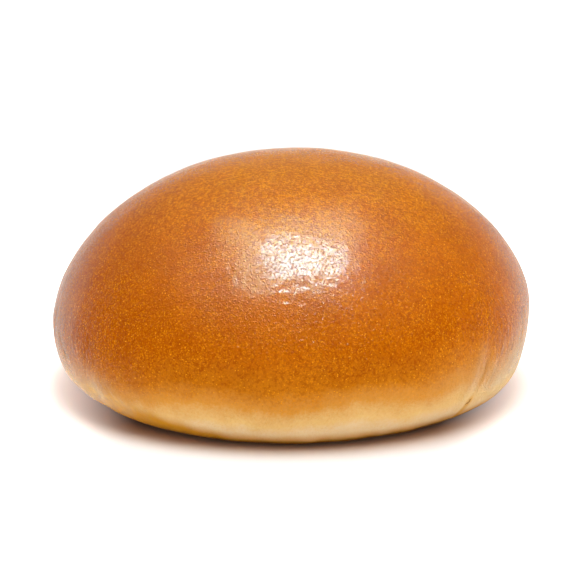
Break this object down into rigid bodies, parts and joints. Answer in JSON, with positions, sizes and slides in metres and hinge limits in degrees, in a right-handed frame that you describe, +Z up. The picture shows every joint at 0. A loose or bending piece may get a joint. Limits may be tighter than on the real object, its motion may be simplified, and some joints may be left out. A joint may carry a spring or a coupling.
{
  "type": "brioche burger bun",
  "caption": "Round, domed, egg-glazed brioche burger bun, whole and uncut, with a flat base and a pale soft foot under a golden crust.",
  "frame": {"origin": "centre of the bun's bounding box on the plane of its flat base", "axes": "+Z up out of the base through the top of the dome; the side shown in the picture faces -Y; +X is to that side's right and is the slightly longer way across"},
  "size_m": [0.108, 0.1074, 0.0527],
  "materials": {
    "crust": "satin"
  },
  "bodies": {
    "root": {"bun": "crust"}
  },
  "joints": []
}
